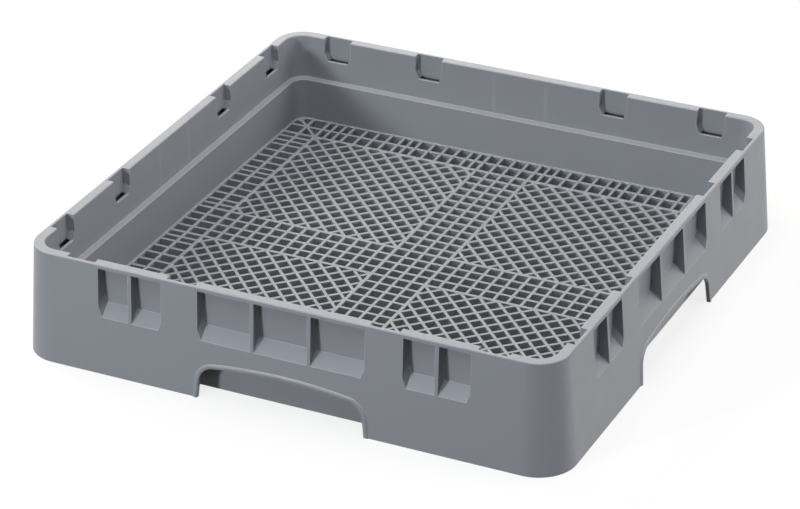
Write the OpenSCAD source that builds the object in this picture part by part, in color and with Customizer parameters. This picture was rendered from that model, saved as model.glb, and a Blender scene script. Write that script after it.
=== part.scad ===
// Square open cutlery basket for a dishwasher: one moulded piece in grey plastic.
// A hollow double wall, open from below, carries a flat rim and a fine mesh floor.
// The origin is at the middle of the footprint, on the surface that the basket stands on.

/* [Basket] */
// Width and depth of the wall at its foot
foot_w = 498; // [440:1:560]
// Height from the foot to the top of the rim
rack_h = 100; // [90:1:120]
// How far each outer wall leans in between foot and rim
lean = 7; // [4:0.5:9]
// Radius of the outer corners at the foot
foot_r = 33; // [30:0.5:40]
// Thickness of the moulded walls
skin = 2.5; // [2:0.1:3]

/* [Rim] */
// Width of the flat rim on top of the double wall
rim_w = 9.2; // [8.5:0.1:11]
// Thickness of the rim plate
rim_t = 3.6; // [2:0.1:4.5]
// Rounding of the rim's two edges
rim_round = 1; // [0.4:0.1:1.2]

/* [Inside] */
// Height of the step that runs round inside the basket
step_z = 58; // [50:1:68]
// Width of that step
step_w = 4.8; // [3:0.1:6]
// How far the top of the step slopes down
step_drop = 1.6; // [0.4:0.1:3]
// How far each inner wall leans in on its way down, above the step and again below it
inner_lean = 0.5; // [0.2:0.1:1]

/* [Mesh floor] */
// Height of the top of the mesh floor
floor_z = 17.3; // [14:0.1:30]
// Depth of the main ribs
main_t = 8.5; // [5:0.5:9]
// Width of the main ribs
main_w = 3; // [2.4:0.1:3.6]
// How far the main ribs stand proud of the panels between them
main_proud = 0.3; // [0.2:0.1:0.8]
// Depth of the ribs of the panels
panel_t = 7.5; // [4:0.5:8]
// Width of a straight rib
rib_w = 2.6; // [1.8:0.1:3.2]
// Width of a slanting rib
slant_w = 2.6; // [1.8:0.1:3.2]
// Width of the frame of the mesh along the walls
frame_w = 2; // [1.2:0.1:3]
// Depth of each of the two rows of cells along the walls, and length of a diamond
edge_row = 17.2; // [16:0.1:19]

/* [Windows] */
// Width of one window of the middle group
wide_window_w = 48.6; // [40:0.1:52]
// Width of one window of the side groups
small_window_w = 28.1; // [20:0.1:30]
// Width of the ribs between the windows of a group
mullion_w = 3.2; // [2:0.1:4]
// Distance from the middle of the wall to the near edge of a side group
group_x = 110; // [105:1:120]
// Height of the lower edge of a window on the outer face
sill_z = 52.5; // [48:0.5:60]
// Rise of the sloping sill from the outer face to the back of the window
sill_rise = 10; // [6:0.5:14]
// Width of the slanting lower corner at each end of a group
sill_end_w = 3.5; // [2:0.1:6]
// Height of that corner
sill_end_h = 7.4; // [4:0.1:9]

/* [Rim notches] */
// Width of a notch
notch_w = 27; // [20:0.5:30]
// Height of the lower edge of a notch
notch_z = 77.2; // [72:0.1:86]
// Width of the slanting lower corners of a notch
notch_cut = 3.5; // [2:0.1:6]
// Height of those corners
notch_rise = 7.4; // [4:0.1:9]
// Distance from the middle of the wall to the inner notch
notch_near = 92.5; // [91:0.5:94]
// Distance from the middle of the wall to the outer notch
notch_far = 187; // [186:0.5:192]

/* [Hand-holds] */
// Width of a hand-hold at the foot
hold_w = 153; // [130:1:170]
// Height of a hand-hold where its arched top ends at the sides
hold_side = 29.5; // [26:0.5:34]
// Height of a hand-hold at the middle of its arch
hold_h = 33.5; // [31:0.5:38]
// How far the sides of a hand-hold lean in over its height at the sides
hold_lean = 3; // [1:0.5:5]
// Radius of the upper corners of a hand-hold
hold_r = 15; // [8:1:18]
// Width of the rounded bead round a hand-hold
bead_w = 4; // [2:0.5:6]
// How far the bead stands proud of the wall
bead_t = 1; // [0.5:0.1:1.5]

/* [Hidden] */
$fn = 96;

// One named overrun serves every cut, and one named seat every piece let into a wall
overrun = 3;
seat = 1.2;
// Smallest part of a diamond that is still left open at the edge of the lattice
least_gap = 2.5;
// How far the corner cells stop short of the rounded corner of the walls
corner_ease = 5;
// Segments in a small rounding, in a corner of a hand-hold and in its arch
round_steps = 4;
hold_steps = 8;
arch_steps = 14;
// Segments across the bead, and how far its section reaches past the edge of the opening
bead_steps = 8;
bead_over = 0.5;

// The four corners turn about centres that lie this far from the middle on each axis,
// so that every face of the wall keeps its distance from the next one all the way round
pivot = foot_w / 2 - foot_r;
rim_r = foot_r - lean;
rim_in = rim_r - rim_w;
step_top_r = rim_in - inner_lean;
step_low_r = step_top_r - step_w;
basin_r = step_low_r - inner_lean;
slope = lean / rack_h;
upper_slope = inner_lean / (rack_h - step_z);
lower_slope = inner_lean / (step_z - step_drop - floor_z);

// Faces of the wall by height, measured outwards from the corner centres
function outer_face(z) = foot_r - slope * z;
function upper_face(z) = rim_in - upper_slope * (rack_h - z);
function lower_face(z) = basin_r + lower_slope * (z - floor_z);

// Points of an arc about [x, y] from angle a to angle b
function arc(x, y, r, a, b, steps) =
    [for (i = [0:steps]) let (t = a + (b - a) * i / steps) [x + r * cos(t), y + r * sin(t)]];

// Section of the hollow wall: skirt, rim, upper wall, step and lower wall in one outline
section = concat(
    [[outer_face(0), 0]],
    arc(outer_face(rack_h - rim_round) - rim_round, rack_h - rim_round, rim_round, 0, 90, round_steps),
    arc(upper_face(rack_h - rim_round) + rim_round, rack_h - rim_round, rim_round, 90, 180, round_steps),
    [[step_top_r, step_z],
     [step_low_r, step_z - step_drop],
     [lower_face(0), 0],
     [lower_face(0) + skin, 0],
     [lower_face(step_z - step_drop - skin) + skin, step_z - step_drop - skin],
     [upper_face(step_z) + skin, step_z - skin],
     [upper_face(rack_h - rim_t) + skin, rack_h - rim_t],
     [outer_face(rack_h - rim_t) - skin, rack_h - rim_t],
     [outer_face(0) - skin, 0]]);

// The section stands up, facing outwards along -Y, with the wall running along X
module along_wall(length) {
    translate([-length / 2, -pivot, 0])
        rotate([90, 0, 90])
            linear_extrude(length)
                mirror([1, 0])
                    children();
}

// A face view of the wall, with X along the wall and Y upwards, pushed from one depth to another
module through_wall(from, to) {
    translate([0, -pivot - from, 0])
        rotate([90, 0, 0])
            linear_extrude(to - from)
                children();
}

module all_sides() {
    for (a = [0:90:270])
        rotate([0, 0, a])
            children();
}

module wall_ring() {
    all_sides() {
        along_wall(2 * pivot)
            polygon(section);
        translate([pivot, pivot, 0])
            rotate_extrude(angle = 90)
                polygon(section);
    }
}

// Windows: recesses in the outer face whose back is the inner wall and whose sill slopes outwards
wide_pitch = wide_window_w + mullion_w;
small_pitch = small_window_w + mullion_w;
window_places = [
    for (i = [-1:1]) [i * wide_pitch, wide_window_w],
    for (s = [-1, 1], i = [0:1]) [s * (group_x + small_window_w / 2 + i * small_pitch), small_window_w]];
// Middle and width of each group of windows
group_places = [
    [0, 3 * wide_window_w + 2 * mullion_w],
    for (s = [-1, 1]) [s * (group_x + small_window_w + mullion_w / 2), 2 * small_window_w + mullion_w]];

function back_face(z) = upper_face(z) + skin;

// The moulded box behind a group of windows closes the recesses towards the hollow wall
module window_box(width) {
    along_wall(width + 2 * skin)
        polygon([
            [outer_face(sill_z - skin) - seat, sill_z - skin],
            [outer_face(rack_h - rim_t) - seat, rack_h - rim_t + seat],
            [back_face(rack_h - rim_t) - seat, rack_h - rim_t + seat],
            [back_face(sill_z + sill_rise) - seat, sill_z + sill_rise - skin],
            [back_face(sill_z + sill_rise), sill_z + sill_rise - skin]]);
}

module window_cut(width) {
    along_wall(width)
        polygon([
            [outer_face(sill_z), sill_z],
            [outer_face(0) + overrun, sill_z],
            [outer_face(0) + overrun, rack_h - rim_t],
            [back_face(rack_h - rim_t), rack_h - rim_t],
            [back_face(sill_z + sill_rise), sill_z + sill_rise]]);
}

// The lower corner at each end of a group is filled to a slant that follows the sill inwards
sill_depth = outer_face(sill_z) - back_face(sill_z + sill_rise);
sill_angle = atan2(sill_rise, sill_depth);
sill_end = sill_end_h * cos(sill_angle);
module sill_ends(width) {
    for (s = [0, 1])
        mirror([s, 0, 0])
            translate([-width / 2, -pivot - outer_face(sill_z), sill_z])
                rotate([sill_angle - 90, 0, 0])
                    translate([0, 0, -overrun])
                        linear_extrude(2 * (sill_depth + sill_rise))
                            polygon([
                                [2 * sill_end_w, sill_end],
                                [-sill_end_w, -2 * sill_end],
                                [-sill_end_w, sill_end]]);
}

// Rim notches: the rim and the inner wall are cut away, and the outer skin stands on. Its back is
// upright there and ends level with the foot of the notch, over a slot into the hollow wall
notch_slant = atan2(notch_cut, notch_rise);
notch_back = outer_face(rack_h) - skin;
function notch_outline(grow, top) =
    let (half = notch_w / 2 + grow)
    [[-half, top],
     [-half, notch_z + notch_rise - grow * tan(notch_slant / 2)],
     [-notch_w / 2 + notch_cut - grow / cos(notch_slant), notch_z],
     [notch_w / 2 - notch_cut + grow / cos(notch_slant), notch_z],
     [half, notch_z + notch_rise - grow * tan(notch_slant / 2)],
     [half, top]];
notch_places = [-notch_far, -notch_near, notch_near, notch_far];

module notch_box() {
    intersection() {
        through_wall(rim_in - overrun, foot_r)
            polygon(notch_outline(skin, rack_h - rim_t + seat));
        along_wall(notch_w + 4 * skin)
            polygon([
                [outer_face(notch_z) - skin + seat, notch_z - overrun],
                [outer_face(rack_h) - skin + seat, rack_h],
                [back_face(rack_h) - seat, rack_h],
                [back_face(notch_z) - seat, notch_z - overrun]]);
    }
}

module notch_cut() {
    intersection() {
        through_wall(step_low_r - overrun, foot_r)
            polygon(notch_outline(0, rack_h + overrun));
        along_wall(notch_w + 4 * skin)
            polygon([
                [notch_back, notch_z - overrun],
                [notch_back, rack_h + overrun],
                [rim_in - overrun, rack_h + overrun],
                [rim_in - overrun, notch_z - overrun]]);
    }
}

// Hand-holds: an arched opening in the skirt, whose corner arcs run tangent into the legs and the arch
leg_angle = atan2(hold_lean, hold_side);
corner_z = hold_side - hold_r;
leg = (corner_z + hold_r * sin(leg_angle)) / cos(leg_angle);
corner_x = hold_w / 2 - hold_r * cos(leg_angle) - leg * sin(leg_angle);
arch_drop = hold_h - corner_z;
arch_r = (pow(corner_x, 2) + pow(arch_drop, 2) - pow(hold_r, 2)) / (2 * (arch_drop - hold_r));
arch_angle = atan2(corner_x, arch_r - arch_drop);
foot_x = hold_w / 2 + overrun * tan(leg_angle);
hold_outline = concat(
    [[foot_x, -overrun]],
    arc(corner_x, corner_z, hold_r, leg_angle, 90 - arch_angle, hold_steps),
    arc(0, hold_h - arch_r, arch_r, 90 - arch_angle, 90 + arch_angle, arch_steps),
    arc(-corner_x, corner_z, hold_r, 90 + arch_angle, 180 - leg_angle, hold_steps),
    [[-foot_x, -overrun]]);

// Section of the bead: half an ellipse, of which the opening cuts off a little
bead_half = (bead_w + bead_over) / 2;
bead_section = concat(
    [[-bead_over, -seat], [bead_w, -seat]],
    [for (i = [0:bead_steps])
        let (t = 180 * i / bead_steps) [bead_w - bead_half + bead_half * cos(t), bead_t * sin(t)]]);

// The face of the leaning skirt, with X along the wall, Y up the face and Z outwards
module on_face() {
    translate([0, -pivot - outer_face(0), 0])
        rotate([90 - atan(slope), 0, 0])
            children();
}

// The bead follows each leg, each corner arc and the arch
module hold_bead() {
    difference() {
        on_face() {
            for (s = [0, 1])
                mirror([s, 0, 0])
                    translate([corner_x, corner_z, 0])
                        rotate([0, 0, leg_angle]) {
                            rotate_extrude(angle = 90 - arch_angle - leg_angle)
                                translate([hold_r, 0])
                                    polygon(bead_section);
                            translate([hold_r, 0, 0])
                                rotate([90, 0, 0])
                                    linear_extrude(leg + overrun)
                                        polygon(bead_section);
                        }
            translate([0, hold_h - arch_r, 0])
                rotate([0, 0, 90 - arch_angle])
                    rotate_extrude(angle = 2 * arch_angle)
                        translate([arch_r, 0])
                            polygon(bead_section);
        }
        translate([-hold_w, -foot_w, -foot_w])
            cube([2 * hold_w, foot_w, foot_w]);
    }
}

module hold_cut() {
    through_wall(outer_face(hold_h) - skin - seat, foot_r + bead_t + overrun)
        polygon(hold_outline);
}

// Mesh floor: main ribs, and between them panels of square cells and of diamonds
floor_half = pivot + basin_r;
// Square cells from the middle to the edge rows, and across half of the middle cross
cells = 15;
cross_cells = 2;
cell = (floor_half - 2 * edge_row) / cells;
cross_line = cross_cells * cell;
edge_line = cells * cell;
panel_z = floor_z - main_proud;
// Panels reach into the main ribs by a quarter of their width, and into the walls by the seat
inset = main_w / 4;
panel_low = cross_line + inset;
panel_high = edge_line - inset;
wall_line = floor_half + seat;

// Ribs across the edge rows: even steps with pairs of narrow ones between, from the middle outwards
edge_rib_shares = [0, 1, 2, 2.7, 3.4, 4.4, 5.4, 6.45, 7.5, 8.2, 8.9, 9.9, 10.9, 11.9, 12.95, 13.65, 14.35, 15];
edge_ribs = [
    for (i = [len(edge_rib_shares) - 1:-1:1]) -edge_rib_shares[i] * cell,
    for (s = edge_rib_shares) s * cell];
rows = [edge_line, edge_line + edge_row];
// The outer row ends at the frame instead of at a rib
row_ends = [rows[1], floor_half - frame_w + rib_w / 2];

// A hole between four rib lines
function hole(x0, x1, y0, y1) =
    let (r = rib_w / 2)
    [[x0 + r, y0 + r], [x1 - r, y0 + r], [x1 - r, y1 - r], [x0 + r, y1 - r]];

// Keeps the part of an outline where coordinate k lies on the given side of a limit
function trimmed(points, k, side, limit) =
    [for (i = [0:len(points) - 1])
        let (p = points[i], q = points[(i + 1) % len(points)],
             a = side * (limit - p[k]), b = side * (limit - q[k]))
        each concat(a >= 0 ? [p] : [], a * b < 0 ? [p + (q - p) * a / (a - b)] : [])];

// Diamonds between ribs that run at 45 degrees and start at the middle of the floor
half_step = edge_row / 2;
reach = half_step - slant_w / sqrt(2);
lattice_low = cross_line + rib_w / 2;
lattice_high = edge_line - rib_w / 2;
last = ceil(lattice_high / half_step) + 1;
function diamond(x, y) = [[x + reach, y], [x, y + reach], [x - reach, y], [x, y - reach]];
function open_enough(c) = c + reach > lattice_low + least_gap && c - reach < lattice_high - least_gap;
lattice_holes = [
    for (i = [1:last], j = [1:last])
        if ((i + j) % 2 == 1 && open_enough(i * half_step) && open_enough(j * half_step))
            trimmed(trimmed(trimmed(trimmed(
                diamond(i * half_step, j * half_step),
                0, 1, lattice_high), 0, -1, lattice_low), 1, 1, lattice_high), 1, -1, lattice_low)];

middle_holes = [
    for (i = [-cross_cells:cross_cells - 1], j = [-cross_cells:cross_cells - 1])
        hole(i * cell, (i + 1) * cell, j * cell, (j + 1) * cell)];
arm_holes = [
    for (i = [cross_cells:cells - 1], j = [-cross_cells:cross_cells - 1])
        hole(i * cell, (i + 1) * cell, j * cell, (j + 1) * cell)];
edge_holes = [
    for (i = [0:len(edge_ribs) - 2], j = [0:1])
        hole(rows[j], row_ends[j], edge_ribs[i], edge_ribs[i + 1])];

// The two corner cells on the diagonal are split by a slanting rib
function corner_hole(low, high, tip) =
    let (a = low + rib_w / 2, b = high - rib_w / 2, s = slant_w / sqrt(2))
    [[a + s, a], [b, a], [b, tip - s], [tip, tip - s]];
corner_tips = [rows[1] - rib_w / 2, floor_half - frame_w - corner_ease];
corner_low = [for (j = [0:1]) corner_hole(rows[j], row_ends[j], corner_tips[j])];
corner_holes = concat(
    corner_low,
    [for (q = corner_low) [for (v = q) [v.y, v.x]]],
    [hole(rows[0], rows[1], rows[1], row_ends[1]), hole(rows[1], row_ends[1], rows[0], rows[1])]);

module panel(outline, holes) {
    translate([0, 0, panel_z - panel_t])
        linear_extrude(panel_t)
            difference() {
                polygon(outline);
                for (h = holes)
                    polygon(h);
            }
}

function box_outline(x0, x1, y0, y1) = [[x0, y0], [x1, y0], [x1, y1], [x0, y1]];

module main_rib(y) {
    translate([-wall_line, y - main_w / 2, floor_z - main_t])
        cube([2 * wall_line, main_w, main_t]);
}

module mesh_floor() {
    panel(box_outline(-panel_low, panel_low, -panel_low, panel_low), middle_holes);
    all_sides() {
        panel(box_outline(panel_low, panel_high, -panel_low, panel_low), arm_holes);
        panel(box_outline(panel_low, panel_high, panel_low, panel_high), lattice_holes);
        panel(box_outline(edge_line + inset, wall_line, -panel_high, panel_high), edge_holes);
        panel(
            concat(
                [[edge_line + inset, edge_line + inset], [wall_line, edge_line + inset]],
                arc(pivot, pivot, basin_r + seat, 0, 90, hold_steps),
                [[edge_line + inset, wall_line]]),
            corner_holes);
        main_rib(cross_line);
        main_rib(edge_line);
    }
}

module walls() {
    difference() {
        union() {
            wall_ring();
            all_sides() {
                for (g = group_places)
                    translate([g[0], 0, 0])
                        window_box(g[1]);
                for (x = notch_places)
                    translate([x, 0, 0])
                        notch_box();
                hold_bead();
            }
        }
        all_sides() {
            difference() {
                for (w = window_places)
                    translate([w[0], 0, 0])
                        window_cut(w[1]);
                for (g = group_places)
                    translate([g[0], 0, 0])
                        sill_ends(g[1]);
            }
            for (x = notch_places)
                translate([x, 0, 0])
                    notch_cut();
            hold_cut();
        }
    }
}

module basket() {
    color("slategray") {
        walls();
        mesh_floor();
    }
}

basket();
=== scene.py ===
# %% [markdown]
# A cutlery basket for a dishwasher: looks for one moulded piece
#
# The real basket is a single piece of grey polypropylene, pressed out of one mould. It has no
# paint, no screws and no second colour, so everything the eye reads comes from its form and its
# surface: satin skin with a fine grain, edges that are never quite sharp, faint sink marks where
# thick ribs cooled behind a wall, and the soft marks of use. The form is finished already in the
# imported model. This lesson gives it the skin, the camera and the light.

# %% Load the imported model
import bpy
import math
from mathutils import Matrix, Vector

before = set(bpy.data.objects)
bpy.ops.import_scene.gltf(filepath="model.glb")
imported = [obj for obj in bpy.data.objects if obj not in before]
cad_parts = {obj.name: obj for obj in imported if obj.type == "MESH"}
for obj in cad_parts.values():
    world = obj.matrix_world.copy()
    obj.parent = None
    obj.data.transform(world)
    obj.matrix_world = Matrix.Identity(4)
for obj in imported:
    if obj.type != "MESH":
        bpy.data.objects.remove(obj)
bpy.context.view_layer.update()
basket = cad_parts["basket"]

# %% [markdown]
# The camera
#
# A product photograph is taken from far away with a long lens, so that the sides hardly converge.
# The view here was solved from the corners of the rim and the foot: the lens looks down at the
# basket over one corner, and leans by less than a degree. Written as an angle round the basket,
# an angle down and a distance, such a camera is easy to read and to change.

# %% Camera
VIEW_ROUND = math.radians(26.096)
VIEW_DOWN = math.radians(28.282)
VIEW_LEAN = math.radians(-0.762)
DISTANCE = 2.88227
LOOK_AT = Vector((0.00856, -0.03900, 0.04980))
LENS_MM = 151.22
SENSOR_MM = 36

def aim(thing, place, target, lean=0.0):
    """Puts a camera or lamp at a place and turns it to its target."""
    turn = (Vector(target) - Vector(place)).to_track_quat("-Z", "Y")
    thing.matrix_world = (Matrix.Translation(place) @ turn.to_matrix().to_4x4()
                          @ Matrix.Rotation(lean, 4, "Z"))

lens = bpy.data.cameras.new("view")
lens.sensor_width = SENSOR_MM
lens.lens = LENS_MM
lens.clip_end = 20
camera = bpy.data.objects.new("view", lens)
bpy.context.scene.collection.objects.link(camera)
bpy.context.scene.camera = camera
ahead = Vector((-math.sin(VIEW_ROUND) * math.cos(VIEW_DOWN),
                math.cos(VIEW_ROUND) * math.cos(VIEW_DOWN), -math.sin(VIEW_DOWN)))
aim(camera, LOOK_AT - ahead * DISTANCE, LOOK_AT, VIEW_LEAN)
print("camera at", [round(v, 3) for v in camera.matrix_world.translation])

# %% [markdown]
# Tools for building node trees
#
# Node trees get long when each node is placed by hand. A few small helpers keep them readable:
# one adds a node with its settings and plugs its inputs, one starts a group with named sockets,
# and one makes a math node and hands back its result.

# %% Node helpers
def add(tree, kind, inputs=(), **settings):
    """Adds a node, sets its properties, and sets or plugs its inputs by name or number."""
    node = tree.nodes.new(kind)
    for name, value in settings.items():
        setattr(node, name, value)
    for name, value in dict(inputs).items():
        socket = node.inputs[name]
        if isinstance(value, bpy.types.NodeSocket):
            tree.links.new(value, socket)
        else:
            socket.default_value = value
    return node

def new_group(name, ins, outs):
    """Starts a shader group; ins gives each input's start value, outs each output's kind."""
    tree = bpy.data.node_groups.new(name, "ShaderNodeTree")
    for title, value in ins.items():
        socket = tree.interface.new_socket(title, in_out="INPUT", socket_type="NodeSocketFloat")
        socket.default_value = value
    for title, kind in outs.items():
        tree.interface.new_socket(title, in_out="OUTPUT", socket_type=kind)
    return tree, tree.nodes.new("NodeGroupInput"), tree.nodes.new("NodeGroupOutput")

def math_node(tree, operation, *values):
    """One math node; values are numbers or sockets."""
    return add(tree, "ShaderNodeMath", dict(enumerate(values)), operation=operation).outputs[0]

# %% [markdown]
# Moulded skin
#
# A polypropylene skin is not one flat tone. The tool's surface is spark-eroded to a fine grain
# less than half a millimetre wide, the plastic flows and cools in broad cloudy patches that shift
# the tone by a hundredth or two, and handling polishes some places. A noise at three scales, read
# in object coordinates, gives these without any image. A scale counts the noise's cells in a
# metre.

# %% Moulded skin group
CLOUD_SCALE = 9.0
PATCH_SCALE = 45.0
GRAIN_SCALE = 2600.0

skin, skin_in, skin_out = new_group(
    "moulded skin", {"Clouds": 0.03, "Grain": 1.0},
    {"Tone": "NodeSocketFloat", "Polish": "NodeSocketFloat", "Height": "NodeSocketFloat"})
place = add(skin, "ShaderNodeTexCoord").outputs["Object"]

def noise(scale, detail, roughness):
    """A noise on the basket's own coordinates, from 0 to 1."""
    return add(skin, "ShaderNodeTexNoise", {"Vector": place, "Scale": scale, "Detail": detail,
                                            "Roughness": roughness}).outputs["Fac"]

clouds = noise(CLOUD_SCALE, 3.0, 0.55)
patches = noise(PATCH_SCALE, 4.0, 0.6)
grain = noise(GRAIN_SCALE, 2.0, 0.5)
about_nought = math_node(skin, "SUBTRACT", clouds, 0.5)
spread = math_node(skin, "MULTIPLY", about_nought, skin_in.outputs["Clouds"])
grain_height = math_node(skin, "MULTIPLY", grain, skin_in.outputs["Grain"])
skin.links.new(math_node(skin, "ADD", spread, 1.0), skin_out.inputs["Tone"])
skin.links.new(patches, skin_out.inputs["Polish"])
skin.links.new(grain_height, skin_out.inputs["Height"])
print("moulded skin:", len(skin.nodes), "nodes")

# %% [markdown]
# Edges
#
# No moulded edge is sharp: the cutter that makes the tool leaves a radius of a few tenths of a
# millimetre, which catches the light as a thin line. The imported mesh is exact and its edges are
# sharp, and it is never changed, so the rounding is made in the shader. The Bevel node turns the
# normal within a small radius of an edge. Where that turned normal differs from the true one
# there is an edge, and there the colour is painted paler: a painted highlight along every edge,
# convex and concave alike, for the thin line of light that a rounding catches. The two normals
# are compared by the cosine of the angle between them: the mask starts at about 6 degrees and is
# full at about 26.

# %% Edge group
EDGE_STARTS = 0.995
EDGE_FULL = 0.90

edges, edges_in, edges_out = new_group(
    "rounded edge", {"Radius": 0.0006}, {"Normal": "NodeSocketVector", "Edge": "NodeSocketFloat"})
turned = add(edges, "ShaderNodeBevel", {"Radius": edges_in.outputs["Radius"]}, samples=6)
true_normal = add(edges, "ShaderNodeNewGeometry").outputs["Normal"]
likeness = add(edges, "ShaderNodeVectorMath", {0: turned.outputs[0], 1: true_normal},
               operation="DOT_PRODUCT").outputs["Value"]
mask = add(edges, "ShaderNodeMapRange", {"Value": likeness, "From Min": EDGE_STARTS,
                                         "From Max": EDGE_FULL})
edges.links.new(turned.outputs[0], edges_out.inputs["Normal"])
edges.links.new(mask.outputs[0], edges_out.inputs["Edge"])
print("rounded edge:", len(edges.nodes), "nodes")

# %% [markdown]
# Sink marks
#
# Where a thick rib meets the back of a wall, the plastic cools last and draws the wall in a
# little. The ribs between the middle windows leave such marks inside the basket: two pale upright
# lines on each inner wall above the step, about 26 mm to either side of the middle. The wall of
# the mesh stays flat, so the lines are painted paler: a painted sheen that stands in for the
# light the shallow dips catch. All four walls are alike, so the smaller of the two distances from
# the middle runs along a wall and the larger one across it.

# %% Sink mark group
STEP_LOW, STEP_HIGH = 0.059, 0.064
FADE_HIGH, FADE_LOW = 0.099, 0.085
LEFT_AT_RIM = 0.3
INNER_WALL = 0.2338

sinks, sinks_in, sinks_out = new_group(
    "sink marks", {"At": 0.0259, "Width": 0.003}, {"Mask": "NodeSocketFloat"})
spot = add(sinks, "ShaderNodeSeparateXYZ",
           {0: add(sinks, "ShaderNodeTexCoord").outputs["Object"]})
from_x = math_node(sinks, "ABSOLUTE", spot.outputs["X"])
from_y = math_node(sinks, "ABSOLUTE", spot.outputs["Y"])
along = math_node(sinks, "MINIMUM", from_x, from_y)
across = math_node(sinks, "MAXIMUM", from_x, from_y)
off = math_node(sinks, "ABSOLUTE", math_node(sinks, "SUBTRACT", along, sinks_in.outputs["At"]))
line = add(sinks, "ShaderNodeMapRange",
           {"Value": off, "From Min": sinks_in.outputs["Width"], "From Max": 0.0},
           interpolation_type="SMOOTHSTEP")
above_step = add(sinks, "ShaderNodeMapRange",
                 {"Value": spot.outputs["Z"], "From Min": STEP_LOW, "From Max": STEP_HIGH})
below_rim = add(sinks, "ShaderNodeMapRange",
                {"Value": spot.outputs["Z"], "From Min": FADE_HIGH, "From Max": FADE_LOW,
                 "To Min": LEFT_AT_RIM})
inside = math_node(sinks, "LESS_THAN", across, INNER_WALL)
height = math_node(sinks, "MULTIPLY", above_step.outputs[0], below_rim.outputs[0])
upright = math_node(sinks, "MULTIPLY", line.outputs[0], height)
sinks.links.new(math_node(sinks, "MULTIPLY", upright, inside), sinks_out.inputs["Mask"])
print("sink marks:", len(sinks.nodes), "nodes")

# %% [markdown]
# Grey polypropylene
#
# The base is a cool mid grey. The skin group moves its tone and roughness a little, the sink
# group marks the places behind the ribs, where the colour is painted paler as a painted sheen,
# the edge group marks the edges, where the colour is painted paler as a painted highlight, and
# the grain feeds a shallow bump. Polypropylene has an index of refraction of about 1.49 and a
# satin finish, which gives the rim its soft shine when it is seen at a low angle.

# %% Grey plastic material
GREY = (0.300, 0.315, 0.340)
# Pale grey and share of the painted highlight along the edges.
EDGE_HIGHLIGHT_GREY = (0.70, 0.715, 0.735, 1.0)
EDGE_HIGHLIGHT_SHARE = 0.85
# How much paler the painted sheen makes the sink marks.
SINK_SHEEN = 0.14
CLOUD_SHARE = 0.06
EDGE_RADIUS = 0.0007
SMOOTHEST, ROUGHEST = 0.35, 0.45
MIX_SHARE, MIX_A, MIX_B, MIX_RESULT = 0, 6, 7, 2

plastic = bpy.data.materials.new("grey polypropylene")
plastic.use_nodes = True
tree = plastic.node_tree
surface = tree.nodes["Principled BSDF"]
surface.inputs["IOR"].default_value = 1.49
skin_node = add(tree, "ShaderNodeGroup", node_tree=skin)
skin_node.inputs["Clouds"].default_value = CLOUD_SHARE
edge_node = add(tree, "ShaderNodeGroup", node_tree=edges)
edge_node.inputs["Radius"].default_value = EDGE_RADIUS
sink_node = add(tree, "ShaderNodeGroup", node_tree=sinks)

# %% Colour of the plastic
# Painted sheen: the sink marks are made paler in colour, for the light their shallow dips catch.
sink_sheen = math_node(tree, "MULTIPLY_ADD", sink_node.outputs["Mask"], SINK_SHEEN, 1.0)
toned = add(tree, "ShaderNodeVectorMath", {0: GREY}, operation="SCALE")
tree.links.new(math_node(tree, "MULTIPLY", skin_node.outputs["Tone"], sink_sheen),
               toned.inputs["Scale"])
# Painted highlight: along every edge the colour is mixed towards a pale grey, for the light a
# rounded edge catches.
edge_highlight = math_node(tree, "MULTIPLY", edge_node.outputs["Edge"], EDGE_HIGHLIGHT_SHARE)
highlighted = add(tree, "ShaderNodeMix", {MIX_SHARE: edge_highlight, MIX_A: toned.outputs[0], MIX_B: EDGE_HIGHLIGHT_GREY},
             data_type="RGBA")
tree.links.new(highlighted.outputs[MIX_RESULT], surface.inputs["Base Color"])

# %% Shine and grain of the plastic
gloss = add(tree, "ShaderNodeMapRange",
            {"Value": skin_node.outputs["Polish"], "From Min": 0.3, "From Max": 0.7,
             "To Min": SMOOTHEST, "To Max": ROUGHEST})
tree.links.new(gloss.outputs[0], surface.inputs["Roughness"])
bump = add(tree, "ShaderNodeBump",
           {"Height": skin_node.outputs["Height"], "Strength": 0.12, "Distance": 0.00005,
            "Normal": edge_node.outputs["Normal"]})
tree.links.new(bump.outputs[0], surface.inputs["Normal"])
basket.data.materials.clear()
basket.data.materials.append(plastic)
print("basket wears", basket.data.materials[0].name)

# %% [markdown]
# Floor and background
#
# The photograph has a pure white ground. Far from the basket the paper and the world are plain
# white wherever they are seen, and near it the paper is partly lit like anything else, so that
# the basket's soft shadow stays. The photograph was cut out and laid on white: between the ribs
# of its mesh the ground shows nearly black. So the paper has a near-black square inside the foot,
# where it shows only through the mesh: painted shade under the basket. Light that the paper
# throws up onto the walls is kept low by a darker tone for every ray that isn't seen.

# %% Paper seen and unseen
DARK_TO, OPEN_FROM = 0.226, 0.230
SHADOW_REACH, PLAIN_FROM = 0.3, 0.7
PLAIN_NEAR = 0.8
# Near-black tone of the painted shade inside the foot.
SHADE_UNDER_MESH = 0.02
TONE_UNSEEN, TONE_SEEN = 0.05, 0.92
WHITE = 1.02

def only_seen(tree):
    """One where the camera looks, directly, in a mirror or through glass, otherwise nought."""
    path = add(tree, "ShaderNodeLightPath").outputs
    seen = math_node(tree, "MAXIMUM", path["Is Camera Ray"], path["Is Transmission Ray"])
    return math_node(tree, "MAXIMUM", seen, path["Is Glossy Ray"])

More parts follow.
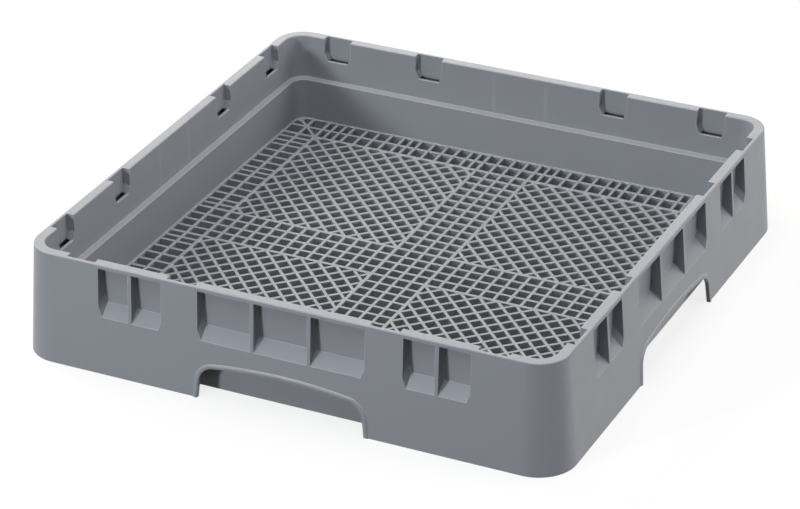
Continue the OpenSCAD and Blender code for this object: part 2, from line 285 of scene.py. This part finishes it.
# %% Floor
bpy.ops.mesh.primitive_plane_add(size=14, location=(0, 0, 0))
floor = bpy.context.object
floor.name = "floor"
paper = bpy.data.materials.new("white paper")
paper.use_nodes = True
tree = paper.node_tree
sheet = tree.nodes["Principled BSDF"]
sheet.inputs["Roughness"].default_value = 0.9
sheet.inputs["Specular IOR Level"].default_value = 0.0
spot = add(tree, "ShaderNodeTexCoord").outputs["Object"]
apart = add(tree, "ShaderNodeSeparateXYZ", {0: spot})
side = math_node(tree, "MAXIMUM", math_node(tree, "ABSOLUTE", apart.outputs["X"]),
                 math_node(tree, "ABSOLUTE", apart.outputs["Y"]))
open_floor = add(tree, "ShaderNodeMapRange",
                 {"Value": side, "From Min": DARK_TO, "From Max": OPEN_FROM}).outputs[0]
reach = add(tree, "ShaderNodeVectorMath", {0: spot}, operation="LENGTH").outputs["Value"]
far = add(tree, "ShaderNodeMapRange",
          {"Value": reach, "From Min": SHADOW_REACH, "From Max": PLAIN_FROM,
           "To Min": PLAIN_NEAR, "To Max": 1.0}, interpolation_type="SMOOTHSTEP").outputs[0]
seen = only_seen(tree)
tone = add(tree, "ShaderNodeMapRange",
           {"Value": seen, "To Min": TONE_UNSEEN, "To Max": TONE_SEEN}).outputs[0]
# Painted shade: inside the foot the paper is near black, under the mesh.
shade = add(tree, "ShaderNodeMapRange",
            {"Value": open_floor, "To Min": SHADE_UNDER_MESH, "To Max": tone}).outputs[0]
colour = add(tree, "ShaderNodeCombineColor", {0: shade, 1: shade, 2: shade})
tree.links.new(colour.outputs[0], sheet.inputs["Base Color"])
glow = add(tree, "ShaderNodeEmission", {"Strength": WHITE})
plain = math_node(tree, "MULTIPLY", seen, math_node(tree, "MULTIPLY", open_floor, far))
blend = add(tree, "ShaderNodeMixShader", {0: plain, 1: sheet.outputs[0], 2: glow.outputs[0]})
tree.links.new(blend.outputs[0], tree.nodes["Material Output"].inputs["Surface"])
floor.data.materials.append(paper)
print("floor of", [round(v, 1) for v in floor.dimensions])

# %% World
world = bpy.data.worlds.new("studio")
world.use_nodes = True
bpy.context.scene.world = world
tree = world.node_tree
sky = tree.nodes["Background"]
sky.inputs["Color"].default_value = (0.94, 0.98, 1.0, 1)
sky.inputs["Strength"].default_value = 0.02
seen_white = add(tree, "ShaderNodeBackground", {"Color": (1, 1, 1, 1), "Strength": WHITE})
mix = add(tree, "ShaderNodeMixShader", {0: only_seen(tree), 1: sky.outputs[0],
                                        2: seen_white.outputs[0]})
tree.links.new(mix.outputs[0], tree.nodes["World Output"].inputs["Surface"])
print("world lights at", round(sky.inputs["Strength"].default_value, 3))

# %% [markdown]
# Lamps
#
# Shadows tell where the light stands. In the windows of the front wall the left jambs lie in a
# narrow, sharp shadow, and so does the left end of the hand-hold: a small key lamp stands to the
# left of the camera, a little above the basket. The rim and the ribs of the mesh are far brighter
# than the walls, so the strongest box hangs straight overhead and a second one overhead to the
# front. The rim brightens towards the back and the left, because it mirrors a low box behind the
# basket. A low box lights the right wall, and between it and the key lamp the near corner stays
# darker. The boxes at the left and the back right are a little warmer. A place is written as an
# angle round the basket, seen from above and counted from the right, an angle up and a distance.

# %% Soft boxes
LAMPS_LOOK_AT = Vector((0, 0, 0.05))

def soft_box(name, around, up, distance, size, watts, tint):
    """A square lamp that looks at the basket and isn't seen itself."""
    around, up = math.radians(around), math.radians(up)
    out_to = Vector((math.cos(up) * math.cos(around), math.cos(up) * math.sin(around),
                     math.sin(up)))
    place = LAMPS_LOOK_AT + distance * out_to
    lamp = bpy.data.lights.new(name, "AREA")
    lamp.shape = "SQUARE"
    lamp.size = size
    lamp.energy = watts
    lamp.color = tint
    holder = bpy.data.objects.new(name, lamp)
    holder.visible_camera = False
    bpy.context.scene.collection.objects.link(holder)
    aim(holder, place, LAMPS_LOOK_AT)
    print(name, watts, "W at", [round(v, 2) for v in place])

soft_box("overhead box", 0, 90, 2.95, 1.6, 35.0, (1.0, 0.977, 0.98))
soft_box("front overhead box", -90, 63, 2.86, 1.4, 25.4, (0.87, 0.951, 1.0))
soft_box("key lamp", -114, 15, 2.6, 0.3, 27.3, (0.939, 0.941, 1.0))
soft_box("back right box", 45, 39.3, 2.92, 1.2, 17.5, (1.0, 0.85, 0.752))
soft_box("left box", 165.96, 37.5, 1.56, 0.8, 12.5, (1.0, 0.896, 0.733))
soft_box("low right box", 12.5, 11.2, 2.82, 1.0, 31.0, (0.93, 0.95, 1.0))
soft_box("low back box", 113, 13, 3.0, 1.4, 15.5, (0.987, 0.98, 1.0))

# %% View settings
bpy.context.scene.view_settings.view_transform = "Standard"
